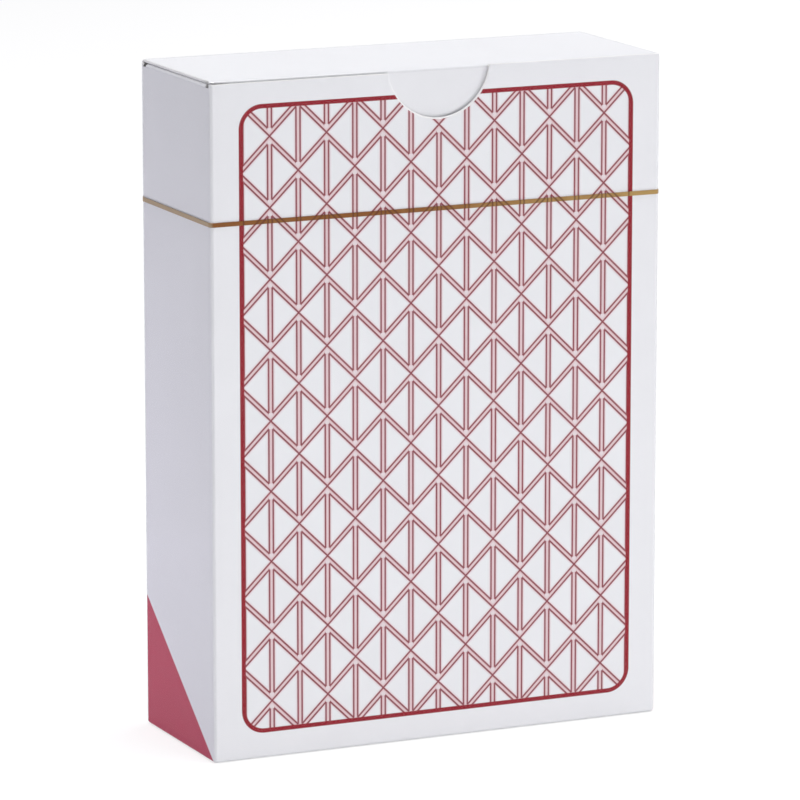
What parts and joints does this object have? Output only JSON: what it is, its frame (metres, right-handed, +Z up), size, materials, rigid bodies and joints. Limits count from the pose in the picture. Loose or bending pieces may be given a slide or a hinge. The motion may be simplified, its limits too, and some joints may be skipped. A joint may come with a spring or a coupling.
{
  "type": "playing card deck",
  "caption": "Boxed deck of playing cards: printed paperboard tuck carton with a thumb notch, hinged lid and tongue, wrapped in clear film with a gold tear tape.",
  "frame": {"origin": "middle of the base, on the surface that the deck stands on", "axes": "+Z up along the deck's height, -Y out of the printed front panel with the thumb notch, +X to the front's right"},
  "size_m": [0.066, 0.024, 0.0918],
  "materials": {
    "board": "coated white board, satin",
    "film": "clear, glossy",
    "tape": "gold, glossy",
    "card": "plastic-coated, satin"
  },
  "bodies": {
    "carton": {"carton_shell": "board", "film_sleeve": "film"},
    "lid": {"lid_panel": "board"},
    "tongue": {"tuck_tongue": "board"},
    "flap_left": {"dust_flap_left": "board"},
    "flap_right": {"dust_flap_right": "board"},
    "upper_film": {"film_cap": "film", "tear_tape": "tape"},
    "pack": {"card_ace_of_spades": "card", "card_two_of_spades": "card", "card_three_of_spades": "card", "card_four_of_spades": "card", "card_five_of_spades": "card", "card_six_of_spades": "card", "card_seven_of_spades": "card", "card_eight_of_spades": "card", "card_nine_of_spades": "card", "card_ten_of_spades": "card", "card_jack_of_spades": "card", "card_queen_of_spades": "card", "card_king_of_spades": "card", "card_ace_of_hearts": "card", "card_two_of_hearts": "card", "card_three_of_hearts": "card", "card_four_of_hearts": "card", "card_five_of_hearts": "card", "card_six_of_hearts": "card", "card_seven_of_hearts": "card", "card_eight_of_hearts": "card", "card_nine_of_hearts": "card", "card_ten_of_hearts": "card", "card_jack_of_hearts": "card", "card_queen_of_hearts": "card", "card_king_of_hearts": "card", "card_ace_of_clubs": "card", "card_two_of_clubs": "card", "card_three_of_clubs": "card", "card_four_of_clubs": "card", "card_five_of_clubs": "card", "card_six_of_clubs": "card", "card_seven_of_clubs": "card", "card_eight_of_clubs": "card", "card_nine_of_clubs": "card", "card_ten_of_clubs": "card", "card_jack_of_clubs": "card", "card_queen_of_clubs": "card", "card_king_of_clubs": "card", "card_ace_of_diamonds": "card", "card_two_of_diamonds": "card", "card_three_of_diamonds": "card", "card_four_of_diamonds": "card", "card_five_of_diamonds": "card", "card_six_of_diamonds": "card", "card_seven_of_diamonds": "card", "card_eight_of_diamonds": "card", "card_nine_of_diamonds": "card", "card_ten_of_diamonds": "card", "card_jack_of_diamonds": "card", "card_queen_of_diamonds": "card", "card_king_of_diamonds": "card"}
  },
  "joints": [
    {"name": "lid_hinge", "type": "hinge", "parent": "carton", "child": "lid", "pos_m": [0, 0.01168, 0.0915], "axis": [-1, 0, 0], "range_deg": [0, 120]},
    {"name": "tongue_fold", "type": "hinge", "parent": "lid", "child": "tongue", "pos_m": [0, -0.01118, 0.0915], "axis": [1, 0, 0], "range_deg": [0, 36]},
    {"name": "flap_left_fold", "type": "hinge", "parent": "carton", "child": "flap_left", "pos_m": [-0.0327, 0, 0.09105], "axis": [0, -1, 0], "range_deg": [0, 60]},
    {"name": "flap_right_fold", "type": "hinge", "parent": "carton", "child": "flap_right", "pos_m": [0.0327, 0, 0.09105], "axis": [0, 1, 0], "range_deg": [0, 60]},
    {"name": "upper_film_lift", "type": "slide", "parent": "carton", "child": "upper_film", "axis": [0, 0, 1], "range_m": [0, 0.063]},
    {"name": "pack_slide", "type": "slide", "parent": "carton", "child": "pack", "axis": [0, 0, 1], "range_m": [0, 0.0018]}
  ],
  "couplings": [
    {"joint": "lid_hinge", "follows": "upper_film_lift", "rad_per_m": 33.244},
    {"joint": "tongue_fold", "follows": "upper_film_lift", "rad_per_m": 9.9733},
    {"joint": "flap_left_fold", "follows": "upper_film_lift", "rad_per_m": 16.622},
    {"joint": "flap_right_fold", "follows": "upper_film_lift", "rad_per_m": 16.622}
  ]
}
